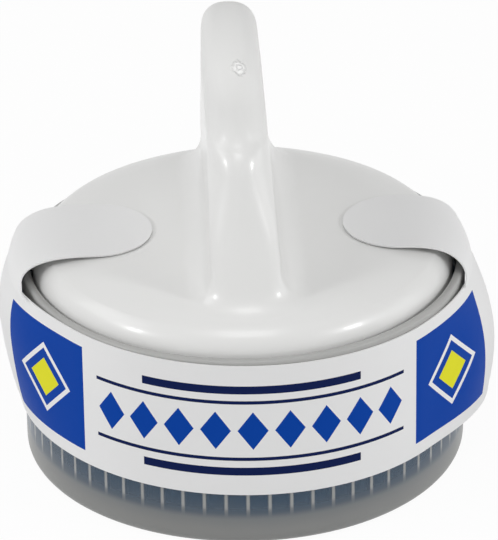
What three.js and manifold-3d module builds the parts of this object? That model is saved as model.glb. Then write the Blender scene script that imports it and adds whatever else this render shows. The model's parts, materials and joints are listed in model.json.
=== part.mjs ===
// Shoe cream applicator seated in its ribbed storage cup and closed by a paper seal.
// Millimetres, +Z up, the cup stands on z = 0 with its axis on Z, the front faces -Y and the
// fin handle is thin along X.
import * as THREE from "three";
import { mergeVertices } from "three/addons/utils/BufferGeometryUtils.js";
import Module from "manifold-3d";

const wasm = await Module();
wasm.setup();

// Clearances between pieces
const FIT = 0.3;
const PAPER_GAP = 0.15;

// Storage cup
const CUP_RIM_RADIUS = 35;
const CUP_TAPER = 0.3;
const CUP_HEIGHT = 33;
const CUP_WALL = 1.4;
const CUP_CORNER = 2.4;
const CUP_FLOOR = 1.2;
const CUP_INNER_CORNER = 1.6;
const FOOT_RECESS = 0.6;
const FOOT_RING = 3.2;
const RIM_ROUND = 0.5;
const RIB_COUNT = 64;
const RIB_WIDTH = 0.9;
const RIB_DEPTH = 1.8;
const RIB_START = 5.4;
const RIB_PHASE = -1.5;

// Plate of the applicator
const PLATE_SINK = 2;
const PLATE_PLAY = 0.4;
const PLATE_EDGE_RUN = 9;
const PLATE_EDGE_RISE = 6.95;
const PLATE_WALL = 2;
const LIP_DROP = 1.7;
const LIP_ROUND = 0.8;

// Fin handle, heights above the flat of the plate
const FIN_FOOT_REACH = 27.2;
const FIN_TOE = 1.7;
const FIN_TOE_DROP = 1.2;
const FIN_TOE_RISE = 1.6;
const FIN_SHOULDER_REACH = 19.1;
const FIN_SHOULDER_HEIGHT = 21.6;
const FIN_SHOULDER_RUN = 5;
const FIN_NECK_RUN = 4.2;
const FIN_NECK_ANGLE = 11;
const GRIP_REACH = 15;
const GRIP_RISE = 12.4;
const GRIP_CENTRE = 25.2;
const FIN_BASE_HALF = 5.55;
const FIN_DRAFT = 2.1;
const FIN_NOSE = 0.35;
const FIN_LEAN = 2.4;
const FOOT_FILLET = 2.8;
const FOOT_CORNER = 2.4;
const CORNER_START = 13;
const CORNER_END = 23;
const FIN_WALL = 2.2;
const FIN_ROOT = 1.6;

// Sponge and what holds it
const CARRIER_THICK = 1.8;
const CARRIER_BELOW_LIP = 0.5;
const PEG_CIRCLE = 20;
const PEG_COUNT = 4;
const PEG_RADIUS = 1.5;
const PEG_LENGTH = 4.4;
const SOCKET_WALL = 1.3;
const ADHESIVE_THICK = 0.3;
const ADHESIVE_MARGIN = 1.2;
const SPONGE_HEIGHT = 22;
const SPONGE_EDGE = 3;
const SPONGE_CROWN = 0.8;
const SPONGE_MARGIN = 0.9;

// Paper seal
const PAPER_THICK = 0.3;
const STRIP_HEIGHT = 22.8;
const STRIP_BELOW_RIM = 0.7;
const STRIP_SKEW = 0.5;
const STRIP_CURL_START = 52;
const TAB_WIDTH = 17.6;
const TAB_TIP_LEFT = 14.2;
const TAB_TIP_RIGHT = 15.8;
const TAB_LEAVES_PLATE = 25;
const TEAR_GAP = 0.3;
const TAB_LEAN = 0.5;
const TAB_FULLNESS = 0.62;
const TAB_HUG = 0.45;
const TAB_ROW_EASE = 1.5;
const TAB_TIP_CUT = 0.05;
// How far the loose ends of the strip stand off the wall, from the lower edge to the upper one
const STAND_OFF_LEFT = [0.5, 1.6, 2.4, 3, 3.3, 2.9, 1.7];
const STAND_OFF_RIGHT = [3.6, 4.2, 4.5, 4.3, 3.5, 2.2, 0.8];

// Facets
const CUP_FACETS = RIB_COUNT;
const PLATE_FACETS = 64;
const CUP_STEPS = 2;
const PLATE_STEPS = 4;
const FIN_STEPS = 5;
const FIN_TURNS = 8;
const CORE_STEPS = 2;
const CORE_TURNS = 4;

// Levels and radii that follow from the sizes above
const rad = THREE.MathUtils.degToRad;
const cupInner = CUP_RIM_RADIUS - CUP_WALL;
const cupFloorTop = FOOT_RECESS + CUP_FLOOR;
const plateRadius = cupInner - PLATE_PLAY;
const plateWide = CUP_HEIGHT - PLATE_SINK;
const plateTop = plateWide + PLATE_EDGE_RISE;
const plateFlat = plateRadius - PLATE_EDGE_RUN;
const lipBottom = plateWide - LIP_DROP;
const lipInner = plateRadius - PLATE_WALL;
const ribTop = lipBottom - FIT;
const ribInner = cupInner - RIB_DEPTH;
const carrierBottom = lipBottom - CARRIER_BELOW_LIP;
const carrierTop = carrierBottom + CARRIER_THICK;
const carrierRadius = lipInner - FIT;
const spongeTop = carrierBottom - ADHESIVE_THICK;
const spongeRadius = ribInner - SPONGE_MARGIN;
const stripTop = CUP_HEIGHT - STRIP_BELOW_RIM;
const stripEnd = 90 + THREE.MathUtils.radToDeg(Math.asin(TAB_WIDTH / 2 / CUP_RIM_RADIUS));

/** A closed solid from a geometry, for joining and cutting. */
function solidOf(geometry) {
  const plain = geometry.clone();
  plain.deleteAttribute("normal");
  plain.deleteAttribute("uv");
  const welded = mergeVertices(plain, 1e-4);
  const kept = [];
  const index = welded.index.array;
  for (let i = 0; i < index.length; i += 3) {
    const [a, b, c] = [index[i], index[i + 1], index[i + 2]];
    if (a !== b && b !== c && c !== a) kept.push(a, b, c);
  }
  return new wasm.Manifold(new wasm.Mesh({
    numProp: 3,
    vertProperties: Float32Array.from(welded.attributes.position.array),
    triVerts: Uint32Array.from(kept),
  }));
}

/** The geometry of a joined or cut solid. */
function geometryOf(solid) {
  const mesh = solid.getMesh();
  const geometry = new THREE.BufferGeometry();
  geometry.setAttribute("position", new THREE.BufferAttribute(Float32Array.from(mesh.vertProperties), 3));
  geometry.setIndex(new THREE.BufferAttribute(Uint32Array.from(mesh.triVerts), 1));
  geometry.computeVertexNormals();
  return geometry;
}

/** A body of revolution about Z from a profile that runs up the outside and down the inside. */
function revolve(path, facets, steps) {
  const profile = path.getPoints(steps);
  profile.push(profile[0].clone());
  const geometry = new THREE.LatheGeometry(profile, facets);
  geometry.rotateX(Math.PI / 2);
  return geometry;
}

/** An upright round bar between two levels. */
function bar(radius, low, high, x = 0, y = 0, facets = 24) {
  const geometry = new THREE.CylinderGeometry(radius, radius, high - low, facets);
  geometry.rotateX(Math.PI / 2);
  geometry.translate(x, y, (low + high) / 2);
  return geometry;
}

/** A closed skin through rings of equal length, the first one capped. */
function loft(rings) {
  const count = rings[0].length;
  const points = rings.flat();
  const index = [];
  for (let r = 0; r + 1 < rings.length; r += 1) {
    for (let i = 0; i < count; i += 1) {
      const next = (i + 1) % count;
      const a = r * count + i;
      const b = r * count + next;
      index.push(a, b, b + count, a, b + count, a + count);
    }
  }
  for (let i = 1; i + 1 < count; i += 1) index.push(0, i + 1, i);
  const geometry = new THREE.BufferGeometry().setFromPoints(points);
  geometry.setIndex(index);
  return geometry;
}

/** A thin closed sheet of even thickness on a surface given by two parameters from 0 to 1. */
function sheet(surface, across, along, thickness) {
  const faces = [[], []];
  const step = 1e-3;
  for (let j = 0; j <= along; j += 1) {
    for (let i = 0; i <= across; i += 1) {
      const u = i / across;
      const v = j / along;
      const point = surface(u, v);
      const du = surface(Math.min(u + step, 1), v).sub(surface(Math.max(u - step, 0), v));
      const dv = surface(u, Math.min(v + step, 1)).sub(surface(u, Math.max(v - step, 0)));
      const normal = du.cross(dv).normalize().multiplyScalar(thickness / 2);
      faces[0].push(point.clone().add(normal));
      faces[1].push(point.clone().sub(normal));
    }
  }
  const row = across + 1;
  const size = row * (along + 1);
  const index = [];
  const quad = (a, b, c, d) => index.push(a, b, c, a, c, d);
  for (let j = 0; j < along; j += 1) {
    for (let i = 0; i < across; i += 1) {
      const a = j * row + i;
      quad(a, a + 1, a + 1 + row, a + row);
      quad(size + a, size + a + row, size + a + 1 + row, size + a + 1);
    }
  }
  for (let i = 0; i < across; i += 1) {
    const top = along * row + i;
    quad(i, size + i, size + i + 1, i + 1);
    quad(top, top + 1, size + top + 1, size + top);
  }
  for (let j = 0; j < along; j += 1) {
    const a = j * row;
    const b = a + across;
    quad(a, a + row, size + a + row, size + a);
    quad(b, size + b, size + b + row, b + row);
  }
  const geometry = new THREE.BufferGeometry().setFromPoints(faces.flat());
  geometry.setIndex(index);
  return geometry;
}

/** Outer radius of the tapered cup wall at a level. */
function cupRadius(level) {
  return CUP_RIM_RADIUS - CUP_TAPER * (1 - level / CUP_HEIGHT);
}

/** The cup: a thin wall with a rounded rim, a foot ring and ribs that carry the plate. */
function cupGeometry() {
  const base = CUP_RIM_RADIUS - CUP_TAPER;
  const inner = base - CUP_WALL;
  const path = new THREE.Path();
  path.moveTo(0, FOOT_RECESS);
  path.lineTo(base - CUP_CORNER - FOOT_RING, FOOT_RECESS);
  path.lineTo(base - CUP_CORNER - FOOT_RING, 0);
  path.lineTo(base - CUP_CORNER, 0);
  path.absarc(base - CUP_CORNER, CUP_CORNER, CUP_CORNER, rad(-90), 0);
  path.lineTo(CUP_RIM_RADIUS, CUP_HEIGHT - RIM_ROUND);
  path.quadraticCurveTo(CUP_RIM_RADIUS, CUP_HEIGHT, CUP_RIM_RADIUS - RIM_ROUND, CUP_HEIGHT);
  path.lineTo(cupInner + RIM_ROUND, CUP_HEIGHT);
  path.quadraticCurveTo(cupInner, CUP_HEIGHT, cupInner, CUP_HEIGHT - RIM_ROUND);
  path.lineTo(inner, cupFloorTop + CUP_INNER_CORNER);
  path.absarc(inner - CUP_INNER_CORNER, cupFloorTop + CUP_INNER_CORNER, CUP_INNER_CORNER, 0, rad(-90), true);
  path.lineTo(0, cupFloorTop);
  const solids = [solidOf(revolve(path, CUP_FACETS, CUP_STEPS))];
  const root = inner + CUP_WALL / 2;
  for (let i = 0; i < RIB_COUNT; i += 1) {
    const rib = new THREE.BoxGeometry(RIB_WIDTH, root - ribInner, ribTop - RIB_START);
    rib.translate(0, -(root + ribInner) / 2, (ribTop + RIB_START) / 2);
    rib.rotateZ(rad(RIB_PHASE + (i * 360) / RIB_COUNT));
    solids.push(solidOf(rib));
  }
  return geometryOf(wasm.Manifold.union(solids));
}

/** Side outline of the front half of the fin as reach and height above the plate, foot to crest. */
function finOutline(steps) {
  const path = new THREE.Path();
  const slope = (FIN_FOOT_REACH - FIN_SHOULDER_REACH) / FIN_SHOULDER_HEIGHT;
  const onSlope = (height) => new THREE.Vector2(FIN_FOOT_REACH - slope * height, height);
  const neckTurn = rad(FIN_NECK_ANGLE);
  const across = new THREE.Vector2(GRIP_REACH * Math.cos(neckTurn), GRIP_RISE * Math.sin(neckTurn));
  const crest = new THREE.Vector2(across.x, GRIP_CENTRE + across.y);
  const down = new THREE.Vector2(GRIP_REACH * Math.sin(neckTurn), -GRIP_RISE * Math.cos(neckTurn));
  const neck = crest.clone().addScaledVector(down.normalize(), FIN_NECK_RUN);
  const shoulder = onSlope(FIN_SHOULDER_HEIGHT);
  const middle = shoulder.clone().lerp(neck, 0.5);
  const toe = onSlope(FIN_TOE_RISE);
  const aboveFillet = onSlope(FOOT_FILLET);
  const bend = onSlope(FIN_SHOULDER_HEIGHT - FIN_SHOULDER_RUN);
  path.moveTo(FIN_FOOT_REACH + FIN_TOE, -FIN_TOE_DROP);
  path.quadraticCurveTo(FIN_FOOT_REACH, 0, toe.x, toe.y);
  path.lineTo(aboveFillet.x, aboveFillet.y);
  path.lineTo(bend.x, bend.y);
  path.quadraticCurveTo(shoulder.x, shoulder.y, middle.x, middle.y);
  path.quadraticCurveTo(neck.x, neck.y, crest.x, crest.y);
  path.absellipse(0, GRIP_CENTRE, GRIP_REACH, GRIP_RISE, neckTurn, rad(90), false, 0);
  return path.getPoints(steps);
}

/** Rings of the fin, drawn in by an inset for the core, with or without the foot fillet. */
function finRings(inset, fillet, bottom, steps, turns) {
  const outline = finOutline(steps);
  outline.unshift(new THREE.Vector2(outline[0].x, bottom));
  const rings = outline.map(({ x: reach, y: height }) => {
    const low = THREE.MathUtils.clamp(height, 0, fillet);
    const flare = fillet > 0 ? fillet - Math.sqrt(fillet ** 2 - (fillet - low) ** 2) : 0;
    const half = FIN_BASE_HALF - Math.tan(rad(FIN_DRAFT)) * Math.max(height, 0) - inset;
    const round = THREE.MathUtils.smoothstep(height, CORNER_START, CORNER_END);
    const corner = THREE.MathUtils.lerp(Math.min(FOOT_CORNER, half), half, round);
    const above = Math.max(height - GRIP_CENTRE, 0);
    const inward = new THREE.Vector2(reach, above).normalize();
    const ring = [];
    for (let k = 0; k <= turns; k += 1) {
      const turn = rad(-90 + (180 * k) / turns);
      const depth = inset + (corner + flare) * (1 - Math.cos(turn)) * (1 + FIN_NOSE * round);
      const side = Math.sign(turn) * (half - corner) + (corner + flare) * Math.sin(turn);
      ring.push(new THREE.Vector3(side, inward.x * depth - reach, height - inward.y * depth));
    }
    const back = ring.map((point) => new THREE.Vector3(-point.x, -point.y, point.z));
    return [...ring, ...back];
  });
  for (const point of rings.flat()) {
    point.x -= Math.tan(rad(FIN_LEAN)) * Math.max(point.z, 0);
    point.z += plateTop;
  }
  return rings;
}

/** Where the pegs of the carrier stand. */
function pegPlaces() {
  const places = [];
  for (let i = 0; i < PEG_COUNT; i += 1) {
    const angle = rad(45 + (i * 360) / PEG_COUNT);
    places.push([PEG_CIRCLE * Math.cos(angle), PEG_CIRCLE * Math.sin(angle)]);
  }
  return places;
}

/** The white moulding: shelled plate, fin with a core open below, and four peg sockets. */
function handleGeometry() {
  const path = new THREE.Path();
  path.moveTo(lipInner, lipBottom);
  path.lineTo(plateRadius - LIP_ROUND, lipBottom);
  path.absellipse(plateRadius - LIP_ROUND, plateWide, LIP_ROUND, LIP_DROP, rad(-90), 0, false, 0);
  path.absellipse(plateFlat, plateWide, PLATE_EDGE_RUN, PLATE_EDGE_RISE, 0, rad(90), false, 0);
  path.lineTo(0, plateTop);
  path.lineTo(0, plateTop - PLATE_WALL);
  const run = PLATE_EDGE_RUN - PLATE_WALL;
  path.absellipse(plateFlat, plateWide, run, PLATE_EDGE_RISE - PLATE_WALL, rad(90), 0, true, 0);
  path.lineTo(lipInner, lipBottom);
  const plate = solidOf(revolve(path, PLATE_FACETS, PLATE_STEPS));
  const fin = solidOf(loft(finRings(0, FOOT_FILLET, -FIN_ROOT, FIN_STEPS, FIN_TURNS)));
  const core = solidOf(loft(finRings(FIN_WALL, 0, -2 * PLATE_WALL, CORE_STEPS, CORE_TURNS)));
  const sockets = pegPlaces().map(([x, y]) =>
    solidOf(bar(PEG_RADIUS + FIT + SOCKET_WALL, carrierTop, plateTop - PLATE_WALL / 2, x, y)));
  const bores = pegPlaces().map(([x, y]) =>
    solidOf(bar(PEG_RADIUS + FIT, carrierTop - 1, carrierTop + PEG_LENGTH + FIT, x, y)));
  const body = wasm.Manifold.union([plate, fin, ...sockets]);
  return geometryOf(body.subtract(wasm.Manifold.union([core, ...bores])));
}

/** The disc that carries the sponge, with its pegs. */
function carrierGeometry() {
  const solids = [solidOf(bar(carrierRadius, carrierBottom, carrierTop, 0, 0, PLATE_FACETS))];
  for (const [x, y] of pegPlaces()) {
    solids.push(solidOf(bar(PEG_RADIUS, carrierBottom + CARRIER_THICK / 2, carrierTop + PEG_LENGTH, x, y)));
  }
  return geometryOf(wasm.Manifold.union(solids));
}

/** The foam pad with a rounded working edge and a slightly crowned face. */
function spongeGeometry() {
  const bottom = spongeTop - SPONGE_HEIGHT;
  const face = bottom + SPONGE_CROWN;
  const path = new THREE.Path();
  path.moveTo(0, bottom);
  path.quadraticCurveTo((spongeRadius - SPONGE_EDGE) / 2, bottom, spongeRadius - SPONGE_EDGE, face);
  path.quadraticCurveTo(spongeRadius, face, spongeRadius, face + SPONGE_EDGE);
  path.lineTo(spongeRadius, spongeTop);
  path.lineTo(0, spongeTop);
  return revolve(path, PLATE_FACETS, PLATE_STEPS);
}

/** How far the strip stands off the wall at one side, by its height from 0 to 1. */
function standOff(side, height) {
  const values = side < 0 ? STAND_OFF_LEFT : STAND_OFF_RIGHT;
  const curve = new THREE.SplineCurve(values.map((value, i) => new THREE.Vector2(i, value)));
  return curve.getPoint(height).y;
}

/** The strip round the front of the cup, loose and bowed at both ends. */
function stripGeometry() {
  const surface = (u, v) => {
    const angle = THREE.MathUtils.lerp(-stripEnd, stripEnd, u);
    const level = stripTop - STRIP_HEIGHT * (1 - v) - STRIP_SKEW * Math.sin(rad(angle));
    const loose = THREE.MathUtils.smoothstep(Math.abs(angle), STRIP_CURL_START, 90);
    const radius = cupRadius(level) + PAPER_GAP + PAPER_THICK / 2 + loose * standOff(angle, v);
    return new THREE.Vector3(radius * Math.sin(rad(angle)), -radius * Math.cos(rad(angle)), level);
  };
  return sheet(surface, 48, 8, PAPER_THICK);
}

/** One end of the seal, from the tear line over the rim to its round tip on the plate. */
function tabGeometry(side) {
  const start = stripTop - STRIP_SKEW * side;
  const reach = cupRadius(start) + PAPER_GAP + PAPER_THICK / 2 + standOff(side, 1);
  const rest = plateTop + PAPER_GAP + PAPER_THICK / 2;
  const tip = side < 0 ? TAB_TIP_LEFT : TAB_TIP_RIGHT;
  const leave = TAB_LEAVES_PLATE;
  const rise = rest - start;
  const route = new THREE.CurvePath();
  const first = new THREE.Vector2(reach, start + TEAR_GAP);
  const last = new THREE.Vector2(leave, rest);
  const bow = new THREE.Vector2(reach - TAB_LEAN, start + TAB_FULLNESS * rise);
  const crown = new THREE.Vector2(leave + TAB_FULLNESS * (reach - leave), rest);
  route.add(new THREE.CubicBezierCurve(first, bow, crown, last));
  route.add(new THREE.LineCurve(last, new THREE.Vector2(tip, rest)));
  const length = route.getLength();
  const half = TAB_WIDTH / 2;
  const surface = (u, v) => {
    const done = 1 - (1 - v) ** TAB_ROW_EASE;
    const gone = Math.min(done, 1 - TAB_TIP_CUT / length);
    const place = route.getPointAt(gone);
    const left = Math.min(length * (1 - gone), half);
    const width = Math.sqrt(half ** 2 - (half - left) ** 2);
    const y = (2 * u - 1) * width;
    const hug = 1 - THREE.MathUtils.smoothstep(done, 0, TAB_HUG);
    const round = reach - Math.sqrt(reach ** 2 - y ** 2);
    return new THREE.Vector3(side * (place.x - hug * round), side * y, place.y);
  };
  return sheet(surface, 6, 20, PAPER_THICK);
}

/** A named piece with its own material. */
function piece(name, geometry, color, roughness, extra = {}) {
  const material = new THREE.MeshStandardMaterial({ color, roughness, metalness: 0, ...extra });
  const mesh = new THREE.Mesh(geometry, material);
  mesh.name = name;
  return mesh;
}

const cup = new THREE.Group();
cup.name = "cup";
cup.add(piece("storage_cup", cupGeometry(), 0x8c8f8d, 0.4, { transparent: true, opacity: 0.6 }));
cup.add(piece("label_strip", stripGeometry(), 0xdddddd, 0.55));

const applicator = new THREE.Group();
applicator.name = "applicator";
applicator.add(piece("applicator_handle", handleGeometry(), 0xe6e6e4, 0.25));
applicator.add(piece("sponge_carrier", carrierGeometry(), 0xd8d8d6, 0.4));
const adhesive = bar(carrierRadius - ADHESIVE_MARGIN, spongeTop, carrierBottom, 0, 0, PLATE_FACETS);
applicator.add(piece("adhesive_disc", adhesive, 0xcfc9b4, 0.6));
applicator.add(piece("sponge", spongeGeometry(), 0x2a333c, 0.95));
applicator.add(piece("label_tab_left", tabGeometry(-1), 0xdddddd, 0.55));
applicator.add(piece("label_tab_right", tabGeometry(1), 0xdddddd, 0.55));

const part = new THREE.Group();
part.name = "shoe_cream_applicator";
part.add(cup, applicator);

export default part;
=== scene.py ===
"""Shoe cream applicator in its ribbed storage cup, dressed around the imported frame."""

from __future__ import annotations

import json
import logging
import math
from dataclasses import dataclass, field
from enum import Enum
from typing import Callable, Union

import bmesh
import bpy
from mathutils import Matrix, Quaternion, Vector

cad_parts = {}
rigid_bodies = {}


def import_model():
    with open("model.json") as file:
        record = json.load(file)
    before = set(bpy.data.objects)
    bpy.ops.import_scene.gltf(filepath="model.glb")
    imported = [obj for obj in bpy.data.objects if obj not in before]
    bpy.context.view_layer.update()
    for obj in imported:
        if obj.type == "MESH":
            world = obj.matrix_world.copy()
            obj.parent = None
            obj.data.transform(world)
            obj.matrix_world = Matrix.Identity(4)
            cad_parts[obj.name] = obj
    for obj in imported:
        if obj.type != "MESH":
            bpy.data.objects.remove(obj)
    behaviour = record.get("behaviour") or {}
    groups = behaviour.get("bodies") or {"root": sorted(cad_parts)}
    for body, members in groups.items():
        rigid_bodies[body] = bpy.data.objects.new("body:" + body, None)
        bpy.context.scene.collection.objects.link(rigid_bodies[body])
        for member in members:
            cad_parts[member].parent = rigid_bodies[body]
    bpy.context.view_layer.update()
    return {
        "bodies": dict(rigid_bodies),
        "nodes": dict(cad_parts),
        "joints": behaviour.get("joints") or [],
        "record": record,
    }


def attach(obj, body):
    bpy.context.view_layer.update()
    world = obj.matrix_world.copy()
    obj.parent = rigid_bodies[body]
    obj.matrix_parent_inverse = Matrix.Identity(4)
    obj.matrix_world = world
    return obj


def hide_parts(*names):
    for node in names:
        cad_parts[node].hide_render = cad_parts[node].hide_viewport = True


LOG = logging.getLogger("applicator")
MM = 0.001
HAIR = 1e-6
Pair = tuple[float, float]
Point = tuple[float, float, float]
Colour = tuple[float, float, float, float]
Profile = list[Pair]


class Side(Enum):
    """The two ends of the paper seal, by the sign of X."""

    LEFT = -1
    RIGHT = 1


class Tone(Enum):
    """Printing inks and papers of the seal, linear RGBA."""

    PAPER = (0.85, 0.85, 0.85, 1.0)
    BLUE = (0.003, 0.055, 0.36, 1.0)
    NAVY = (0.006, 0.014, 0.075, 1.0)
    YELLOW = (0.78, 0.76, 0.03, 1.0)


class Sock:
    """A shader socket that takes part in Python expressions.

    Args:
        graph: The node graph that owns the socket.
        socket: The output socket itself.
    """

    def __init__(self, graph: "Graph", socket: bpy.types.NodeSocket | None) -> None:
        """Keeps the socket and its graph."""
        self.graph = graph
        self.socket = socket

    def __add__(self, other: "Value") -> "Sock":
        """Sum of two values."""
        return self.graph.math("ADD", self, other)

    __radd__ = __add__

    def __sub__(self, other: "Value") -> "Sock":
        """Difference of two values."""
        return self.graph.math("SUBTRACT", self, other)

    def __rsub__(self, other: "Value") -> "Sock":
        """Difference with this value taken away."""
        return self.graph.math("SUBTRACT", other, self)

    def __mul__(self, other: "Value") -> "Sock":
        """Product of two values."""
        return self.graph.math("MULTIPLY", self, other)

    __rmul__ = __mul__

    def __truediv__(self, other: "Value") -> "Sock":
        """Quotient of two values."""
        return self.graph.math("DIVIDE", self, other)

    def __abs__(self) -> "Sock":
        """Size without sign."""
        return self.graph.math("ABSOLUTE", self)

    def __lt__(self, other: "Value") -> "Sock":
        """One where this value is the smaller."""
        return self.graph.math("LESS_THAN", self, other)

    def __gt__(self, other: "Value") -> "Sock":
        """One where this value is the larger."""
        return self.graph.math("GREATER_THAN", self, other)

    def most(self, other: "Value") -> "Sock":
        """The larger of two values."""
        return self.graph.math("MAXIMUM", self, other)


Value = Union[float, Sock]


class Graph:
    """The node graph of one material or world, filled from Python expressions.

    Args:
        name: Name of the material or world.
        world: Makes a world instead of a material.
    """

    def __init__(self, name: str, world: bool = False) -> None:
        """Makes the material or world with an empty graph."""
        self.owner = bpy.data.worlds.new(name) if world else bpy.data.materials.new(name)
        self.owner.use_nodes = True
        self.tree = self.owner.node_tree
        self.tree.nodes.clear()
        self.output = "OutputWorld" if world else "OutputMaterial"

    def node(self, kind: str, settings: dict | None = None, inputs: dict | None = None,
             out: Union[int, str] = 0) -> Sock:
        """Adds one node.

        Args:
            kind: The node's type without its ShaderNode prefix.
            settings: Properties that are set first.
            inputs: Values or links by socket name or index.
            out: The output that is handed back.

        Returns:
            The chosen output socket.
        """
        made = self.tree.nodes.new("ShaderNode" + kind)
        for key, value in (settings or {}).items():
            setattr(made, key, value)
        for key, value in (inputs or {}).items():
            if isinstance(value, Sock):
                self.tree.links.new(value.socket, made.inputs[key])
            else:
                made.inputs[key].default_value = value
        return Sock(self, made.outputs[out]) if made.outputs else Sock(self, None)

    def math(self, operation: str, first: Value, second: Value = 0.0) -> Sock:
        """One Math node on two values."""
        return self.node("Math", {"operation": operation}, {0: first, 1: second})

    def blend(self, factor: Value, first: Union[Sock, Colour], second: Union[Sock, Colour]) -> Sock:
        """A colour between two colours.

        Args:
            factor: Zero for the first colour, one for the second.
            first: Colour or link.
            second: Colour or link.

        Returns:
            The mixed colour.
        """
        return self.node("Mix", {"data_type": "RGBA"}, {0: factor, 6: first, 7: second}, 2)

    def place(self) -> Sock:
        """Object coordinates in metres."""
        return self.node("TexCoord", out="Object")

    def height(self) -> Sock:
        """Height over the ground in metres."""
        return self.node("SeparateXYZ", None, {0: self.place()}, 2)

    def turn(self) -> Sock:
        """Angle round the upright axis from the front, in whole turns."""
        across = self.node("SeparateXYZ", None, {0: self.place()}, 0)
        back = self.node("SeparateXYZ", None, {0: self.place()}, 1)
        return self.math("ARCTAN2", across, -1.0 * back) / math.tau

    def ramp(self, value: Sock, low: float, high: float) -> Sock:
        """Smooth step from 0 at low to 1 at high."""
        return self.node("MapRange", {"interpolation_type": "SMOOTHSTEP"},
                         {"Value": value, "From Min": low, "From Max": high})

    def uv(self) -> tuple[Sock, Sock]:
        """The two directions of the piece's own UV map."""
        split = self.node("SeparateXYZ", None, {0: self.node("TexCoord", out="UV")})
        return split, Sock(self, split.socket.node.outputs[1])

    def noise(self, scale: float, detail: float = 2.0, rough: float = 0.5) -> Sock:
        """Noise on object coordinates, from 0 to 1."""
        return self.node("TexNoise", None, {"Vector": self.place(), "Scale": scale,
                                            "Detail": detail, "Roughness": rough})

    def bump(self, height: Value, depth: float, strength: float = 1.0) -> Sock:
        """A bump of a depth in metres for the Normal input."""
        return self.node("Bump", None, {"Height": height, "Distance": depth, "Strength": strength})

    def near(self, spot: Point) -> Sock:
        """Distance from a point of the piece, in metres."""
        return self.node("VectorMath", {"operation": "DISTANCE"}, {0: self.place(), 1: spot}, "Value")

    def mark(self, name: str) -> Sock:
        """A mask that the piece's points carry."""
        return self.node("Attribute", {"attribute_name": name}, out="Fac")

    def seen(self) -> Sock:
        """One for what the camera sees, straight, mirrored or through clear plastic."""
        direct = self.node("LightPath", out="Is Camera Ray")
        mirrored = self.node("LightPath", out="Is Glossy Ray")
        through_it = self.node("LightPath", out="Is Transmission Ray")
        return direct.most(mirrored).most(through_it)

    def close(self, shader: Sock) -> Union[bpy.types.Material, bpy.types.World]:
        """Links a shader to the output and hands back the material or world."""
        self.node(self.output, None, {"Surface": shader})
        return self.owner


def shaded(colour: Colour, share: float) -> Colour:
    """A colour with its three parts scaled, still opaque."""
    return tuple(share * part for part in colour[:3]) + (1.0,)


@dataclass(frozen=True)
class GlossPlastic:
    """Glossy white moulded plastic with the faint unevenness of a moulding.

    Above the matt level the surface is etched fine for a better grip, and the moulding's
    gate leaves a small scar: a pit with a raised edge round one point. Lengths are in metres.
    """

    name: str
    colour: Colour = (0.80, 0.80, 0.79, 1.0)
    roughness: float = 0.32
    matt_level: float = 0.0598
    matt_run: float = 0.0035
    matt_roughness: float = 0.24
    coat: float = 0.22
    gate: Point = (-0.0005, -0.0110, 0.0714)
    scar_colour: Colour = (0.95, 0.95, 0.94, 1.0)
    scar_pit: Pair = (0.0002, 0.0006)
    scar_edge: Pair = (0.0007, 0.0014)
    scar_waver: float = 0.0016
    relief: float = 0.0004

    def make(self) -> bpy.types.Material:
        """Builds the material."""
        graph = Graph(self.name)
        cloud = graph.noise(scale=60.0, detail=3.0)
        speck = graph.noise(scale=2600.0)
        colour = graph.blend(cloud, self.colour, shaded(self.colour, 0.965))
        matt = graph.ramp(graph.height(), self.matt_level, self.matt_level + self.matt_run)
        uneven = 0.08 * (cloud - 0.5) + 0.05 * (speck - 0.5)
        rough = self.roughness + uneven + self.matt_roughness * matt
        waves = graph.noise(scale=140.0, detail=1.0)
        away = graph.near(self.gate) + self.scar_waver * (graph.noise(scale=1100.0) - 0.5)
        beyond = graph.ramp(away, *self.scar_edge)
        scar = graph.ramp(away, *self.scar_pit) - beyond
        colour = graph.blend(1.0 - beyond, colour, self.scar_colour)
        normal = graph.bump(0.04 * waves + 0.01 * speck + scar, depth=self.relief, strength=0.8)
        return graph.close(graph.node("BsdfPrincipled", None, {
            "Base Color": colour, "Roughness": rough, "Normal": normal,
            "IOR": 1.49, "Coat Weight": self.coat - self.coat * matt, "Coat Roughness": 0.1}))


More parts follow.
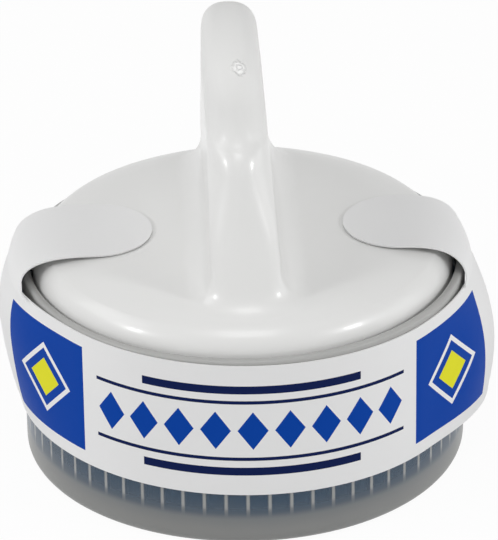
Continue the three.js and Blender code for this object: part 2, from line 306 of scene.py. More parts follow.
@dataclass(frozen=True)
class FrostedPlastic:
    """Hazy grey see-through moulding with light ribs, cells stained by the cream and painted shadow under
    the label.

    Levels are in metres: the ribs run between two, and the stain with its painted shadow under the label
    and the rim's haze with its painted light each fade between two others. The ledge and the start of a
    rib's line fade round the ribs' lower end, and a line's edge is a share of the ribs' pitch.
    """

    name: str
    ribs: int
    rib_phase: float
    rib_span: Pair
    tint: Colour = (0.86, 0.88, 0.88, 1.0)
    milk: Colour = (0.25, 0.253, 0.247, 1.0)
    # Dark blue of the stain, made darker still as painted shadow under the label.
    shaded_stain: Colour = (0.034, 0.082, 0.145, 1.0)
    rib_milk: Colour = (0.36, 0.365, 0.36, 1.0)
    # Milkier plastic of the rim, painted lighter too as painted light in the shaded crevice by the plate's
    # edge.
    rim_milk_and_light: Colour = (0.46, 0.46, 0.45, 1.0)
    stain_shadow_span: Pair = (0.0025, 0.0095)
    rim_span: Pair = (0.0290, 0.0312)
    ledge: Pair = (-0.0006, 0.0008)
    ledge_stain: float = 0.4
    line_start: Pair = (-0.0004, 0.0018)
    line_edge: Pair = (0.045, 0.115)
    haze: float = 0.9
    cell_clear: float = 0.3
    rib_haze: float = 0.92
    ior: float = 1.45

    def make(self) -> bpy.types.Material:
        """Builds the material."""
        graph = Graph(self.name)
        cloud = graph.noise(scale=90.0, detail=3.0)
        grain = graph.noise(scale=3200.0)
        level = graph.height()
        normal = graph.bump(grain, depth=0.00002, strength=0.25)
        clear = graph.node("BsdfPrincipled", None, {
            "Base Color": self.tint, "Roughness": 0.08 + 0.08 * cloud,
            "Normal": normal, "IOR": self.ior, "Transmission Weight": 1.0})
        rim = graph.ramp(level, *self.rim_span)
        ledge = graph.ramp(level, *self._round_start(self.ledge))
        # Painted shadow under the label: the stain darkens upwards to the label's lower edge.
        stain_and_shadow = graph.ramp(level, *self.stain_shadow_span)
        cell = (self.ledge_stain * ledge + (1.0 - self.ledge_stain) * stain_and_shadow) * (1.0 - rim)
        rib = graph.mark("rib").most(self._lines(graph, level))
        colour = graph.blend(cell + 0.2 * (cloud - 0.5), self.milk, self.shaded_stain)
        # Painted light: the rim band is lighter to lift the shade in the crevice by the plate's edge, over
        # a milkier plastic.
        colour = graph.blend(rim, colour, self.rim_milk_and_light)
        body = graph.node("BsdfPrincipled", None, {
            "Base Color": graph.blend(rib, colour, self.rib_milk),
            "Roughness": 0.36 + 0.1 * cloud, "Normal": normal, "IOR": self.ior})
        haze = self.haze - self.cell_clear * cell + 0.08 * (cloud - 0.5)
        return graph.close(graph.node("MixShader", None, {
            0: haze.most(self.rib_haze * rib), 1: clear, 2: body}))

    def _round_start(self, span: Pair) -> Pair:
        """Two levels, given from the ribs' lower end."""
        return self.rib_span[0] + span[0], self.rib_span[0] + span[1]

    def _lines(self, graph: Graph, level: Sock) -> Sock:
        """Mask of the wall that has a rib behind it.

        Args:
            graph: The graph that the nodes go in.
            level: Height over the ground.

        Returns:
            One on the ribs, zero between them.
        """
        count = self.ribs * graph.turn() - self.ribs * self.rib_phase / 360.0
        away = graph.math("PINGPONG", count, 0.5)
        line = 1.0 - graph.ramp(away, *self.line_edge)
        return line * graph.ramp(level, *self._round_start(self.line_start)) * (level < self.rib_span[1])


@dataclass(frozen=True)
class SealPaper:
    """Coated label paper, bare or with a plain ornamental print.

    The print is laid out in millimetres along the strip, from its middle to both ends, and
    up it from its centre line.
    """

    name: str
    printed: bool
    length: float = 128.0
    height: float = 22.8
    panel_centre: float = 38.3
    panel_half: float = 9.4
    panel_rise: float = 9.2
    frame_span: Pair = (5.2, 6.2)
    heart: float = 3.4
    lozenge_half: float = 2.4
    lozenge_slope: float = 0.72
    lozenge_step: float = 2.9
    lozenges_end: float = 26.1
    rule_level: float = 5.0
    rule_half: float = 0.3
    rule_end: float = 26.0
    bar_level: float = 7.2
    bar_half: float = 0.7
    bar_end: float = 17.5

    def make(self) -> bpy.types.Material:
        """Builds the material."""
        graph = Graph(self.name)
        fibre = graph.noise(scale=900.0, detail=4.0, rough=0.6)
        cloud = graph.noise(scale=45.0)
        colour = graph.blend(0.6 * cloud, Tone.PAPER.value, shaded(Tone.PAPER.value, 0.94))
        rough = 0.46 + 0.12 * fibre
        if self.printed:
            colour, ink = self._print(graph, colour)
            rough = rough - 0.1 * ink
        return graph.close(graph.node("BsdfPrincipled", None, {
            "Base Color": colour, "Roughness": rough,
            "Normal": graph.bump(fibre, depth=0.00003, strength=0.35), "IOR": 1.46,
            "Specular IOR Level": 0.04 if self.printed else 0.5}))

    def _print(self, graph: Graph, paper: Sock) -> tuple[Sock, Sock]:
        """Lays panels, lozenges and rules over the paper colour.

        Args:
            graph: The graph that the nodes go in.
            paper: Colour of the bare paper.

        Returns:
            The printed colour and a mask of the inked places.
        """
        u, v = graph.uv()
        along = abs((u - 0.5) * self.length)
        rise = abs((v - 0.5) * self.height)
        beside = abs(along - self.panel_centre)
        panel = (beside < self.panel_half) * (rise < self.panel_rise)
        diamond = beside + rise
        frame = (diamond < self.frame_span[1]) * (diamond > self.frame_span[0])
        heart = diamond < self.heart
        step = graph.math("PINGPONG", along, self.lozenge_step)
        row = along < self.lozenges_end
        lozenge = ((step + self.lozenge_slope * rise) < self.lozenge_half) * row
        rules = (abs(rise - self.rule_level) < self.rule_half) * (along < self.rule_end)
        bars = (abs(rise - self.bar_level) < self.bar_half) * (along < self.bar_end)
        navy = bars.most(rules)
        colour = graph.blend(panel.most(lozenge), paper, Tone.BLUE.value)
        colour = graph.blend(panel * frame, colour, Tone.PAPER.value)
        colour = graph.blend(panel * heart, colour, Tone.YELLOW.value)
        colour = graph.blend(navy, colour, Tone.NAVY.value)
        outer = graph.mark("outer")
        return graph.blend(outer, paper, colour), outer * panel.most(lozenge).most(navy)


@dataclass(frozen=True)
class FoamRubber:
    """Blue open celled foam, damp with cream, with painted shade in its pores."""

    name: str
    colour: Colour = (0.030, 0.110, 0.230, 1.0)
    light: Colour = (0.080, 0.210, 0.370, 1.0)

    def make(self) -> bpy.types.Material:
        """Builds the material."""
        graph = Graph(self.name)
        cell = graph.node("TexVoronoi", None, {"Vector": graph.place(), "Scale": 900.0})
        fine = graph.node("TexVoronoi", None, {"Vector": graph.place(), "Scale": 2100.0})
        cloud = graph.noise(scale=70.0, detail=3.0)
        walls = 0.65 * cell + 0.35 * fine
        # Pores, sunk by the same mask in the bump, are painted darker than the cell walls: painted shade in
        # the pores.
        colour = graph.blend(0.5 * walls + 0.4 * cloud, self.colour, self.light)
        rough = 0.95 - 0.25 * cloud
        return graph.close(graph.node("BsdfPrincipled", None, {
            "Base Color": colour, "Roughness": rough,
            "Normal": graph.bump(walls, depth=0.0004, strength=0.9), "IOR": 1.4}))


@dataclass(frozen=True)
class StagePaper:
    """White studio floor that shows only a faint shadow to the camera."""

    name: str
    white: float = 0.955
    light: Colour = (0.86, 0.86, 0.86, 1.0)
    shade: Colour = (0.84, 0.84, 0.84, 1.0)

    def make(self) -> bpy.types.Material:
        """Builds the material."""
        graph = Graph(self.name)
        colour = graph.blend(graph.noise(scale=300.0), self.light, self.shade)
        matt = graph.node("BsdfDiffuse", None, {"Color": colour})
        glow = graph.node("Emission", None, {"Color": (1.0, 1.0, 1.0, 1.0), "Strength": 1.0})
        return graph.close(graph.node("MixShader", None, {
            0: self.white * graph.seen(), 1: matt, 2: glow}))


class Bench:
    """Hand modelling steps shared by the pieces."""

    @staticmethod
    def clear() -> None:
        """Leaves edit mode and deselects everything."""
        if bpy.context.object and bpy.context.object.mode != "OBJECT":
            bpy.ops.object.mode_set(mode="OBJECT")
        bpy.ops.object.select_all(action="DESELECT")

    @staticmethod
    def grid(name: str, across: int, along: int, surface: Callable[[int, int], Point]) -> bpy.types.Object:
        """Adds a grid and lays each of its points on a surface.

        Args:
            name: Name of the new object.
            across: Faces in the first direction.
            along: Faces in the second direction.
            surface: Place of the point in a column and a row.

        Returns:
            The shaped object, still selected.
        """
        Bench.clear()
        bpy.ops.mesh.primitive_grid_add(x_subdivisions=across, y_subdivisions=along, size=1.0)
        made = bpy.context.object
        made.name = made.data.name = name
        for index, vertex in enumerate(made.data.vertices):
            vertex.co = surface(index % (across + 1), index // (across + 1))
        return made

    @staticmethod
    def weld(made: bpy.types.Object, gap: float = HAIR) -> None:
        """Merges doubled points and turns all faces outwards."""
        bpy.ops.object.mode_set(mode="EDIT")
        bpy.ops.mesh.select_all(action="SELECT")
        bpy.ops.mesh.remove_doubles(threshold=gap)
        bpy.ops.mesh.dissolve_degenerate(threshold=gap)
        bpy.ops.mesh.normals_make_consistent(inside=False)
        bpy.ops.object.mode_set(mode="OBJECT")

    @staticmethod
    def turn(name: str, profile: Profile, steps: int) -> bpy.types.Object:
        """Traces a profile point by point and spins it round the Z axis.

        Args:
            name: Name of the new object.
            profile: Radius and height of each point, in metres.
            steps: Faces in a full turn.

        Returns:
            The closed body, still selected.
        """
        Bench.clear()
        bpy.ops.mesh.primitive_plane_add(size=MM, location=(0.0, 0.0, 0.0))
        made = bpy.context.object
        made.name = made.data.name = name
        bpy.ops.object.mode_set(mode="EDIT")
        bpy.ops.mesh.select_mode(type="VERT")
        bpy.ops.mesh.select_all(action="SELECT")
        bpy.ops.mesh.merge(type="CENTER")
        bpy.ops.transform.translate(value=(profile[0][0], 0.0, profile[0][1]))
        for (r0, z0), (r1, z1) in zip(profile, profile[1:]):
            bpy.ops.mesh.extrude_vertices_move(
                TRANSFORM_OT_translate={"value": (r1 - r0, 0.0, z1 - z0)})
        bpy.ops.mesh.select_all(action="SELECT")
        bpy.ops.mesh.spin(steps=steps, angle=math.tau, center=(0.0, 0.0, 0.0), axis=(0.0, 0.0, 1.0))
        bpy.ops.object.mode_set(mode="OBJECT")
        Bench.weld(made)
        return made

    @staticmethod
    def apply(made: bpy.types.Object, kind: str, **settings: object) -> None:
        """Adds a modifier with its settings and applies it."""
        modifier = made.modifiers.new(kind.title(), kind)
        for key, value in settings.items():
            setattr(modifier, key, value)
        bpy.context.view_layer.objects.active = made
        bpy.ops.object.modifier_apply(modifier=modifier.name)

    @staticmethod
    def smooth(made: bpy.types.Object, degrees: float = 35.0) -> None:
        """Smooth shading that keeps sharp edges."""
        Bench.clear()
        made.select_set(True)
        bpy.context.view_layer.objects.active = made
        bpy.ops.object.shade_smooth_by_angle(angle=math.radians(degrees))

    @staticmethod
    def dress(made: bpy.types.Object, material: bpy.types.Material) -> None:
        """Gives a piece its one material."""
        made.data.materials.clear()
        made.data.materials.append(material)


def arc(centre: Pair, radii: Pair, start: float, end: float, count: int) -> Profile:
    """Points of an elliptical arc.

    Args:
        centre: Centre as radius and height.
        radii: Half axes along the radius and the height.
        start: First angle in degrees.
        end: Last angle in degrees.
        count: Number of steps.

    Returns:
        The points, ends included.
    """
    points = []
    for step in range(count + 1):
        angle = math.radians(start + (end - start) * step / count)
        points.append((centre[0] + radii[0] * math.cos(angle), centre[1] + radii[1] * math.sin(angle)))
    return points


def ease(value: float, low: float, high: float) -> float:
    """Smooth step from 0 at low to 1 at high."""
    share = min(max((value - low) / (high - low), 0.0), 1.0)
    return share * share * (3.0 - 2.0 * share)


def bend(first: Pair, pull: Pair, last: Pair, count: int) -> Profile:
    """Points of a quadratic bend.

    Args:
        first: Where it starts.
        pull: Where the tangents of its ends cross.
        last: Where it ends.
        count: Number of steps.

    Returns:
        The points, ends included.
    """
    points = []
    for step in range(count + 1):
        t = step / count
        points.append(tuple((1 - t) ** 2 * a + 2 * t * (1 - t) * b + t * t * c
                            for a, b, c in zip(first, pull, last)))
    return points


def towards(azimuth: float, elevation: float) -> Vector:
    """Direction from the object to a place round it.

    Args:
        azimuth: Degrees from the front, positive to the right.
        elevation: Degrees over the horizon.

    Returns:
        The direction, of length one.
    """
    az, el = math.radians(azimuth), math.radians(elevation)
    return Vector((math.sin(az) * math.cos(el), -math.cos(az) * math.cos(el), math.sin(el)))


def through(values: list[float], share: float) -> float:
    """Value of a smooth curve through even steps, at a share from 0 to 1."""
    spot = share * (len(values) - 1)
    index = min(int(spot), len(values) - 2)
    t = spot - index
    a, b, c, d = [values[min(max(index + k, 0), len(values) - 1)] for k in (-1, 0, 1, 2)]
    square = (2 * a - 5 * b + 4 * c - d) * t * t
    cube = (3 * b - a - 3 * c + d) * t ** 3
    return 0.5 * (2 * b + (c - a) * t + square + cube)


@dataclass
class StorageCup:
    """The frosted cup with ribs inside, sizes in millimetres."""

    rim_radius: float = 35.0
    taper: float = 0.3
    height: float = 33.0
    wall: float = 1.4
    corner: float = 2.4
    floor: float = 1.2
    inner_corner: float = 1.6
    foot_recess: float = 0.6
    foot_ring: float = 3.2
    foot_slope: float = 0.3
    rim_round: float = 0.5
    belly_share: float = 0.6
    belly_draft: float = 0.1
    inside_draft: Pair = (0.03, 0.05)
    ribs: int = 64
    rib_depth: float = 1.5
    rib_share: int = 5
    rib_start: float = 5.4
    rib_top: float = 28.9
    rib_margin: float = 0.1
    rib_phase: float = -1.5
    milky_share: float = 0.3
    body: str = "cup"
    node: str = "storage_cup"

    def profile(self) -> Profile:
        """Closed profile from the axis under the floor to the axis above it, in metres."""
        base = self.rim_radius - self.taper
        inner = base - self.wall
        top = self.rim_radius - self.wall
        floor_top = self.foot_recess + self.floor
        ring = base - self.corner - self.foot_ring
        points = [(0.0, self.foot_recess), (ring - self.foot_slope, self.foot_recess), (ring, 0.0)]
        points += arc((base - self.corner, self.corner), (self.corner, self.corner), -90, 0, 8)
        points.append((self.rim_radius - self.belly_draft, self.height * self.belly_share))
        points += arc((self.rim_radius - self.rim_round, self.height - self.rim_round),
                      (self.rim_round, self.rim_round), 0, 90, 4)
        points += arc((top + self.rim_round, self.height - self.rim_round),
                      (self.rim_round, self.rim_round), 90, 180, 4)
        points.append((top - self.inside_draft[1], self.rib_top))
        points.append((inner + self.inside_draft[0], self.rib_start))
        points += arc((inner - self.inner_corner, floor_top + self.inner_corner),
                      (self.inner_corner, self.inner_corner), 0, -90, 5)
        points.append((0.0, floor_top))
        return [(r * MM, z * MM) for r, z in points]

    def build(self) -> bpy.types.Object:
        """Turns the wall, then pushes the ribs out of its inside.

        Returns:
            The finished cup.
        """
        made = Bench.turn("cup_shell", self.profile(), self.rib_share * self.ribs)
        low, high = (self.rib_start + self.rib_margin) * MM, (self.rib_top - self.rib_margin) * MM
        pitch = 360.0 / self.ribs
        bpy.ops.object.mode_set(mode="EDIT")
        bpy.ops.mesh.select_all(action="DESELECT")
        bpy.ops.mesh.select_mode(type="FACE")
        mesh = bmesh.from_edit_mesh(made.data)
        for face in mesh.faces:
            middle = face.calc_center_median()
            inward = face.normal.x * middle.x + face.normal.y * middle.y < 0.0
            turn = math.degrees(math.atan2(middle.x, -middle.y)) % pitch
            upright = low < middle.z < high and abs(face.normal.z) < 0.2
            if inward and upright and turn < pitch / self.rib_share:
                face.select = True
        bmesh.update_edit_mesh(made.data)
        bpy.ops.mesh.extrude_region_shrink_fatten(
            TRANSFORM_OT_shrink_fatten={"value": self.rib_depth * MM})
        bpy.ops.mesh.select_more()
        bpy.ops.object.mode_set(mode="OBJECT")
        self._mark_ribs(made)
        bpy.ops.object.mode_set(mode="EDIT")
        bpy.ops.mesh.select_all(action="SELECT")
        bpy.ops.transform.rotate(value=math.radians(0.5 * pitch / self.rib_share - self.rib_phase),
                                 orient_axis="Z", center_override=(0.0, 0.0, 0.0))
        bpy.ops.object.mode_set(mode="OBJECT")
        Bench.smooth(made, 40.0)
        finish = FrostedPlastic("cup_frosted_plastic", self.ribs, self.rib_phase,
                                (self.rib_start * MM, self.rib_top * MM))
        Bench.dress(made, finish.make())
        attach(made, self.body)
        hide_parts(self.node)
        return made

    def _mark_ribs(self, made: bpy.types.Object) -> None:
        """Marks the points that stand inside the wall, for the milky look of thick plastic."""
        inner = (self.rim_radius - self.taper - self.wall - self.milky_share * self.rib_depth) * MM
        mark = made.data.attributes.new("rib", "FLOAT", "POINT")
        low, high = self.rib_start * MM, self.rib_top * MM
        for index, vertex in enumerate(made.data.vertices):
            inside = math.hypot(vertex.co.x, vertex.co.y) < inner
            between = low - HAIR <= vertex.co.z <= high + HAIR
            mark.data[index].value = 1.0 if inside and between else 0.0


@dataclass
class Applicator:
    """The white plate and fin handle in one skin, sizes in millimetres."""

    radius: float = 33.2
    widest: float = 31.0
    edge_run: float = 9.0
    edge_rise: float = 6.95
    fullness: float = 2.6
    wall: float = 2.0
    lip_drop: float = 1.7
    lip_round: float = 0.8
    lip_chamfer: float = 0.2
    foot_reach: float = 27.7
    toe: float = 2.2
    toe_rise: float = 2.6
    toe_margin: float = 0.8
    shoulder_reach: float = 19.1
    shoulder_height: float = 21.6
    shoulder_run: float = 3.2
    neck_run: float = 4.2
    neck_angle: float = 11.0
    grip_radius: float = 15.0
    grip_centre: float = 25.2
    grip_rise: float = 12.4
    base_half: float = 5.55
    draft: float = 1.9
    fillet: float = 4.2
    foot_corner: float = 2.4
    corner_start: float = 11.0
    corner_end: float = 18.5
    nose: float = 0.35
    crest_fullness: float = 2.4
    lean: float = 2.4
    shift: float = -0.1
    end_points: int = 25
    end_spread: float = 18.0
    flank_points: int = 24
    bend_steps: int = 8
    crest_steps: int = 13
    edge_steps: int = 16
    face_shares: tuple[float, ...] = (0.04, 0.085, 0.13, 0.3, 0.5, 0.75)
    blend_shares: tuple[float, ...] = (0.3, 0.6, 0.85, 1.0)
    body: str = "applicator"
    node: str = "applicator_handle"

    @property
    def top(self) -> float:
        """Level of the flat of the plate."""
        return self.widest + self.edge_rise

    def plate_level(self, distance: float) -> float:
        """Level of the plate's top at a distance from its axis."""
        over = max(distance - (self.radius - self.edge_run), 0.0) / self.edge_run
        left = max(1.0 - over ** self.fullness, 0.0)
        return self.widest + self.edge_rise * left ** (1.0 / self.fullness)

    def circle(self, distance: float, level: float) -> list[Point]:
        """One round ring of the plate."""
        return [(distance * math.sin(a), -distance * math.cos(a), level) for a in self._angles()]

    def _angles(self) -> list[float]:
        """Directions of the ring points, packed closer at the fin's two ends."""
        spread = self.end_spread
        ends = [spread * (2.0 * k / (self.end_points - 1) - 1.0) for k in range(self.end_points)]
        gap = (180.0 - 2.0 * spread) / (self.flank_points + 1)
        flank = [spread + gap * (k + 1) for k in range(self.flank_points)]
        half = ends + flank
        return [math.radians(a) for a in half + [180.0 + a for a in half]]

    def outline(self) -> Profile:
        """Side outline of the fin from its foot to the crest, as reach and height over the plate."""
        slope = (self.foot_reach - self.shoulder_reach) / self.shoulder_height
        foot = (self.foot_reach - slope * self.toe_rise, self.toe_rise)
        start = (self.shoulder_reach + slope * self.shoulder_run, self.shoulder_height - self.shoulder_run)
        shoulder = (self.shoulder_reach, self.shoulder_height)
        crest = arc((0.0, self.grip_centre), (self.grip_radius, self.grip_rise),
                    self.neck_angle, 90, self.crest_steps)
        ahead = Vector(crest[0]) - Vector(crest[1])
        neck = tuple(Vector(crest[0]) + ahead.normalized() * self.neck_run)
        middle = tuple((a + b) / 2.0 for a, b in zip(shoulder, neck))
        points = bend((self.foot_reach + self.toe, 0.0), (self.foot_reach, 0.0), foot, self.bend_steps)
        for share in self.face_shares:
            points.append(tuple(a + (b - a) * share for a, b in zip(foot, start)))
        points += bend(start, shoulder, middle, self.bend_steps)
        points += bend(middle, neck, crest[0], self.bend_steps)[1:]
        points += crest[1:]
        return points

    def fin_ring(self, reach: float, height: float) -> list[Point]:
        """One ring of the fin: two rounded ends joined by straight flanks.

        Args:
            reach: How far the end stands from the axis.
            height: Height over the flat of the plate.

        Returns:
            The ring's points, in the order of the plate's rings.
        """
        low = min(max(height, 0.0), self.fillet)
        flare = self.fillet - math.sqrt(self.fillet ** 2 - (self.fillet - low) ** 2)
        half = self.base_half - math.tan(math.radians(self.draft)) * max(height, 0.0)
        round_share = ease(height, self.corner_start, self.corner_end)
        corner = self.foot_corner + (half - self.foot_corner) * round_share
        crest_share = ease(height, self.grip_centre, self.grip_centre + self.grip_rise)
        stretch = 1.0 + self.nose * round_share * (1.0 - crest_share)
        power = 2.0 / (2.0 + (self.crest_fullness - 2.0) * crest_share)
        pull = Vector((reach, max(height - self.grip_centre, 0.0))).normalized()
        front = []
        for k in range(self.end_points):
            turn = math.radians(-90.0 + 180.0 * k / (self.end_points - 1))
            depth = (corner + flare) * (1.0 - math.cos(turn) ** power) * stretch
            side = (half + flare) * math.copysign(abs(math.sin(turn)) ** power, turn)
            front.append((side, pull.x * depth - reach, height - pull.y * depth))
        flank = []
        (x, y, z) = front[-1]
        for k in range(self.flank_points):
            share = (k + 1) / (self.flank_points + 1)
            flank.append((x, y - 2.0 * y * share, z))
        half_ring = front + flank
        return half_ring + [(-px, -py, pz) for px, py, pz in half_ring]

    def rings(self) -> list[list[Point]]:
        """All rings from the hidden middle under the plate to the crest of the fin."""
        flat = self.radius - self.edge_run
        low = self.widest - self.lip_drop
        inner = self.radius - self.wall
        under = self.top - self.wall
        spots = [(0.0, under), (flat, under)]
        spots += arc((flat, self.widest), (self.edge_run - self.wall, self.edge_rise - self.wall), 80, 0, 6)
        lip = self.radius - self.lip_round
        spots += [(inner, low + self.lip_chamfer), (inner + self.lip_chamfer, low), (lip, low)]
        spots += arc((lip, self.widest), (self.lip_round, self.lip_drop), -60, 0, 4)
        limit = (self.foot_reach + self.toe + self.toe_margin - flat) / self.edge_run
        last = math.degrees(math.acos(limit ** (0.5 * self.fullness)))
        for across, up in arc((0.0, 0.0), (1.0, 1.0), 4, last, self.edge_steps):
            distance = flat + self.edge_run * across ** (2.0 / self.fullness)
            spots.append((distance, self.widest + self.edge_rise * up ** (2.0 / self.fullness)))
        found = [self.circle(*spot) for spot in spots]
        fin = [self.fin_ring(*spot) for spot in self.outline()]
        first = [(x, y, 0.0) for x, y, _ in fin[0]]
        last_circle = found[-1]
        for share in self.blend_shares:
            ring = []
            for (ax, ay, _), (bx, by, _) in zip(last_circle, first):
                x, y = ax + (bx - ax) * share, ay + (by - ay) * share
                ring.append((x, y, self.plate_level(math.hypot(x, y))))
            found.append(ring)
        for ring in fin[1:]:
            lifted = []
            for x, y, z in ring:
                sag = self.top - self.plate_level(math.hypot(x, y))
                lifted.append((x, y, self.top + z - sag * (1.0 - ease(z, 0.0, self.fillet))))
            found.append(lifted)
        return found

    def build(self) -> bpy.types.Object:
        """Lays one grid over all rings and closes it.

        Returns:
            The finished moulding.
        """
        rings = self.rings()
        count = len(rings[0])

        def surface(column: int, row: int) -> Point:
            """Place of a grid point on its ring."""
            x, y, z = rings[row][column % count]
            lean = math.tan(math.radians(self.lean)) * max(z - self.top, 0.0)
            return (x + self.shift - lean) * MM, y * MM, z * MM

        made = Bench.grid("applicator_moulding", count, len(rings) - 1, surface)
        Bench.weld(made, 2.0 * HAIR)
        Bench.apply(made, "SUBSURF", levels=1, render_levels=1)
        Bench.smooth(made, 60.0)
        Bench.dress(made, GlossPlastic("applicator_white_plastic").make())
        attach(made, self.body)
        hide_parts(self.node)
        return made


@dataclass
class Sponge:
    """The foam pad under the carrier, sizes in millimetres."""

    radius: float = 30.9
    top: float = 28.5
    height: float = 22.0
    edge: float = 3.0
    crown: float = 0.8
    waist: float = 0.5
    brim: Pair = (0.6, 1.2)
    clear_side: float = 0.2
    clear_top: float = 0.1
    clear_under: float = 0.3
    steps: int = 96
    voxel: float = 0.55
    textures: tuple[tuple[str, str, float, float], ...] = (
        ("pad_swell", "CLOUDS", 9.0, 0.5), ("pad_cells", "VORONOI", 1.7, 0.55))
    mid_level: float = 0.75
    body: str = "applicator"
    node: str = "sponge"

    def build(self) -> bpy.types.Object:
        """Turns the pad, then roughens its skin with open cells.

        Returns:
            The finished pad.
        """
        bottom = self.top - self.height + self.clear_under
        face = bottom + self.crown
        radius = self.radius - self.clear_side
        ceiling = self.top - self.clear_top
        points = [(0.0, bottom), (radius * 0.5, bottom + 0.25 * self.crown)]
        points += arc((radius - self.edge, face + self.edge), (self.edge, self.edge), -84, 0, 6)
        points += [(radius - self.waist, bottom + 0.5 * self.height), (radius, self.top - self.brim[1])]
        points += [(radius - self.brim[0], ceiling), (0.0, ceiling)]
        made = Bench.turn("sponge_pad", [(r * MM, z * MM) for r, z in points], self.steps)
        Bench.apply(made, "REMESH", mode="VOXEL", voxel_size=self.voxel * MM)
        for name, kind, size, depth in self.textures:
            texture = bpy.data.textures.new(name, kind)
            texture.noise_scale = size * MM
            Bench.apply(made, "DISPLACE", texture=texture, texture_coords="LOCAL",
                        strength=depth * MM, mid_level=self.mid_level)
        Bench.smooth(made, 80.0)
        Bench.dress(made, FoamRubber("sponge_blue_foam").make())
        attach(made, self.body)
        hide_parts(self.node)
        return made


@dataclass
class PaperSeal:
    """The paper seal: a strip round the cup and two ends over the rim, sizes in millimetres."""

    cup: StorageCup
    plate: Applicator
    gap: float = 0.12
    thick: float = 0.22
    height: float = 22.8
    below_rim: float = 0.7
    skew: float = 0.5
    curl_start: float = 52.0
    width: float = 17.6
    leaves_plate: float = 25.0
    tear: float = 0.08
    tab_lean: float = 0.5
    tab_fullness: float = 0.62
    row_power: float = 1.6
    tip_share: float = 0.9992
    hug_end: float = 0.45
    strip_faces: tuple[int, int] = (120, 16)
    tab_faces: tuple[int, int] = (16, 48)
    route_steps: int = 32
    root_round: dict[Side, float] = field(default_factory=lambda: {Side.LEFT: 4.4, Side.RIGHT: 2.4})
    tips: dict[Side, float] = field(default_factory=lambda: {Side.LEFT: 14.2, Side.RIGHT: 15.8})
    stand_off: dict[Side, list[float]] = field(default_factory=lambda: {
        Side.LEFT: [0.5, 1.6, 2.4, 3.0, 3.3, 2.9, 1.7],
        Side.RIGHT: [3.6, 4.2, 4.5, 4.3, 3.5, 2.2, 0.8]})

    @property
    def strip_top(self) -> float:
        """Upper edge of the strip at the front."""
        return self.cup.height - self.below_rim

    def wall(self, level: float) -> float:
        """Radius of the cup's outside at a level."""
        return self.cup.rim_radius - self.cup.taper * (1.0 - level / self.cup.height)

    def build_strip(self) -> bpy.types.Object:
        """The printed strip with its loose, bowed ends.

        Returns:
            The finished strip.
        """
        across, along = self.strip_faces
        end = 90.0 + math.degrees(math.asin(self.width / 2.0 / self.cup.rim_radius))

        def surface(column: int, row: int) -> Point:
            """Place of a grid point on the bowed strip."""
            angle = end * (2.0 * column / across - 1.0)
            turn = math.radians(angle)
            share = row / along
            level = self.strip_top - self.height * (1.0 - share) - self.skew * math.sin(turn)
            side = Side.LEFT if angle < 0.0 else Side.RIGHT
            loose = ease(abs(angle), self.curl_start, 90.0)
            radius = self.wall(level) + self.gap + self.thick / 2.0
            radius += loose * through(self.stand_off[side], share)
            return radius * math.sin(turn) * MM, -radius * math.cos(turn) * MM, level * MM

        made = Bench.grid("seal_strip", across, along, surface)
        return self._finish(made, SealPaper("seal_printed_paper", True), "cup", "label_strip")

    def build_tab(self, side: Side) -> bpy.types.Object:
        """One round ended end of the seal, from the tear line to the plate.

        Args:
            side: Which end.

        Returns:
            The finished end.
        """
        across, along = self.tab_faces
        sign = side.value
        start = self.strip_top - self.skew * sign
        reach = self.wall(start) + self.gap + self.thick / 2.0 + self.stand_off[side][-1]
        rest = self.plate.top + self.gap + self.thick / 2.0
        leave = self.leaves_plate
        full = self.tab_fullness
        bezier = [(reach, start + self.tear), (reach - self.tab_lean, start + full * (rest - start)),
                  (leave + full * (reach - leave), rest), (leave, rest)]
        route = []
        for k in range(self.route_steps + 1):
            t = k / self.route_steps
            weights = ((1 - t) ** 3, 3 * t * (1 - t) ** 2, 3 * t * t * (1 - t), t ** 3)
            route.append(Vector((sum(w * p[0] for w, p in zip(weights, bezier)),
                                 sum(w * p[1] for w, p in zip(weights, bezier)))))
        route.append(Vector((self.tips[side], rest)))
        marks = [0.0]
        for a, b in zip(route, route[1:]):
            marks.append(marks[-1] + (b - a).length)
        length = marks[-1]

        def spot(distance: float) -> Vector:
            """Point of the route at a distance along it."""
            for k in range(1, len(marks)):
                if distance <= marks[k]:
                    share = (distance - marks[k - 1]) / (marks[k] - marks[k - 1])
                    return route[k - 1].lerp(route[k], share)
            return route[-1]

        def surface(column: int, row: int) -> Point:
            """Place of a grid point on the bent end."""
            done = 1.0 - (1.0 - row / along) ** self.row_power
            gone = length * min(done, self.tip_share)
            place = spot(gone)
            half = self.width / 2.0
            left = min(length - gone, half)
            y = (2.0 * column / across - 1.0) * math.sqrt(half ** 2 - (half - left) ** 2)
            if sign * y < 0.0:
                curve = self.root_round[side]
                short = max(curve - gone, 0.0)
                y *= 1.0 + (curve - math.sqrt(curve ** 2 - short ** 2)) / half
            hug = 1.0 - ease(done, 0.0, self.hug_end)
            round_off = reach - math.sqrt(reach ** 2 - y ** 2)
            return sign * (place.x - hug * round_off) * MM, sign * y * MM, place.y * MM

        name = "left" if side is Side.LEFT else "right"
        made = Bench.grid(f"seal_end_{name}", across, along, surface)
        paper = SealPaper(f"seal_bare_paper_{name}", False)
        return self._finish(made, paper, "applicator", f"label_tab_{name}")

    def _finish(self, made: bpy.types.Object, paper: SealPaper, body: str, node: str) -> bpy.types.Object:
        """Thickens, smooths and dresses a sheet of the seal.

        Args:
            made: The bare sheet.
            paper: Its finish.
            body: The body that it rides on.
            node: The solid that it stands for.

        Returns:
            The finished sheet.
        """
        Bench.apply(made, "SOLIDIFY", thickness=self.thick * MM, offset=0.0)
        Bench.weld(made, 0.1 * HAIR)
        if paper.printed:
            self._mark_outside(made)
        Bench.smooth(made, 40.0)
        Bench.dress(made, paper.make())
        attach(made, body)
        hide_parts(node)
        return made

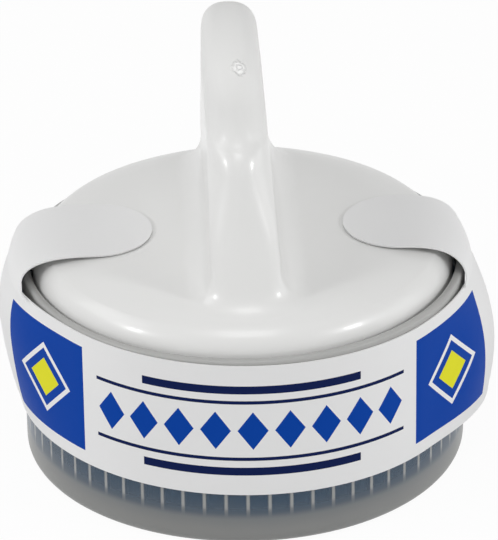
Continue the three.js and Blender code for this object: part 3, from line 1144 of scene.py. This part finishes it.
    @staticmethod
    def _mark_outside(made: bpy.types.Object) -> None:
        """Marks the points of a sheet's outer face, which alone carries the print."""
        mark = made.data.attributes.new("outer", "FLOAT", "POINT")
        for index, vertex in enumerate(made.data.vertices):
            outwards = vertex.normal.x * vertex.co.x + vertex.normal.y * vertex.co.y
            mark.data[index].value = 1.0 if outwards > 0.0 else 0.0


@dataclass
class InnerPieces:
    """Carrier and adhesive, which keep their solids and get a finish each."""

    nodes: dict[str, GlossPlastic] = field(default_factory=lambda: {
        "sponge_carrier": GlossPlastic("carrier_plain_plastic", (0.72, 0.72, 0.71, 1.0), 0.42),
        "adhesive_disc": GlossPlastic("adhesive_film", (0.66, 0.62, 0.50, 1.0), 0.55)})

    def dress(self, frame: dict) -> None:
        """Gives each node its finish."""
        for node, finish in self.nodes.items():
            Bench.dress(frame["nodes"][node], finish.make())


@dataclass(frozen=True)
class SoftLamp:
    """One square lamp aimed at the object.

    The azimuth is 0 in front and positive to the right, in degrees. Sizes are in metres and
    the power is in watts.
    """

    name: str
    azimuth: float
    elevation: float
    distance: float
    size: float
    power: float
    aim: Point = (0.0, 0.0, 0.03)

    def build(self) -> None:
        """Adds the lamp."""
        Bench.clear()
        way = towards(self.azimuth, self.elevation)
        bpy.ops.object.light_add(type="AREA", location=way * self.distance + Vector(self.aim))
        made = bpy.context.object
        made.name = self.name
        made.data.energy = self.power
        made.data.size = self.size
        made.rotation_euler = (-way).to_track_quat("-Z", "Y").to_euler()


@dataclass
class Studio:
    """Camera, lamps, floor and world, sizes in metres, the camera's sensor in millimetres."""

    lamps: tuple[SoftLamp, ...] = (
        SoftLamp("high_lamp", 0.0, 62.0, 0.9, 0.35, 1.45),
        SoftLamp("left_lamp", -63.0, 24.0, 0.9, 0.14, 1.6),
        SoftLamp("right_lamp", 60.0, 24.0, 0.9, 0.14, 1.85),
        SoftLamp("left_sheet", -88.0, 36.0, 0.9, 0.5, 1.6),
        SoftLamp("right_sheet", 88.0, 12.0, 0.9, 0.5, 1.1),
        SoftLamp("back_sheet", 180.0, 50.0, 1.0, 0.9, 0.25),
    )
    ambient: float = 0.345
    azimuth: float = -2.0
    elevation: float = 28.0
    roll: float = -0.8
    distance: float = 1.2
    field_width: float = 0.0785
    sensor: float = 36.0
    target: Point = (0.00094, 0.0, 0.0303)
    sweep_size: float = 6.0

    def camera(self) -> None:
        """Sets the camera at the photograph's angle."""
        Bench.clear()
        way = towards(self.azimuth, self.elevation)
        bpy.ops.object.camera_add(location=Vector(self.target) + way * self.distance)
        made = bpy.context.object
        made.rotation_mode = "QUATERNION"
        look = (-way).to_track_quat("-Z", "Y")
        made.rotation_quaternion = look @ Quaternion((0.0, 0.0, 1.0), math.radians(self.roll))
        made.data.sensor_fit = "HORIZONTAL"
        made.data.sensor_width = self.sensor
        made.data.lens = self.sensor * self.distance / self.field_width
        made.data.clip_start = 0.01
        made.data.clip_end = 20.0
        bpy.context.scene.camera = made

    def floor(self) -> None:
        """Adds the sheet of white paper that the object stands on."""
        Bench.clear()
        bpy.ops.mesh.primitive_plane_add(size=self.sweep_size, location=(0.0, 0.0, 0.0))
        made = bpy.context.object
        made.name = "paper_sweep"
        bpy.ops.object.mode_set(mode="EDIT")
        bpy.ops.mesh.select_all(action="SELECT")
        bpy.ops.mesh.subdivide(number_cuts=8)
        bpy.ops.object.mode_set(mode="OBJECT")
        Bench.dress(made, StagePaper("stage_white_paper").make())

    def world(self) -> None:
        """Even white light all round, and white for the camera."""
        graph = Graph("studio_world", world=True)
        white = (1.0, 1.0, 1.0, 1.0)
        soft = graph.node("Background", None, {"Color": white, "Strength": self.ambient})
        bright = graph.node("Background", None, {"Color": white, "Strength": 1.0})
        mixed = graph.node("MixShader", None, {0: graph.seen(), 1: soft, 2: bright})
        bpy.context.scene.world = graph.close(mixed)

    def build(self) -> None:
        """Sets the whole studio."""
        self.camera()
        self.floor()
        self.world()
        for lamp in self.lamps:
            lamp.build()
        bpy.context.scene.view_settings.view_transform = "Standard"


def main() -> None:
    """Loads the frame, builds every piece and logs the pieces' face counts."""
    logging.basicConfig(level=logging.INFO, format="%(name)s: %(message)s")
    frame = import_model()
    Studio().build()
    cup = StorageCup()
    plate = Applicator()
    seal = PaperSeal(cup, plate)
    pieces = [cup.build(), plate.build(), Sponge().build(), seal.build_strip()]
    pieces += [seal.build_tab(side) for side in Side]
    InnerPieces().dress(frame)
    for made in pieces:
        LOG.info("%s: %d faces", made.name, len(made.data.polygons))


if __name__ == "__main__":
    main()
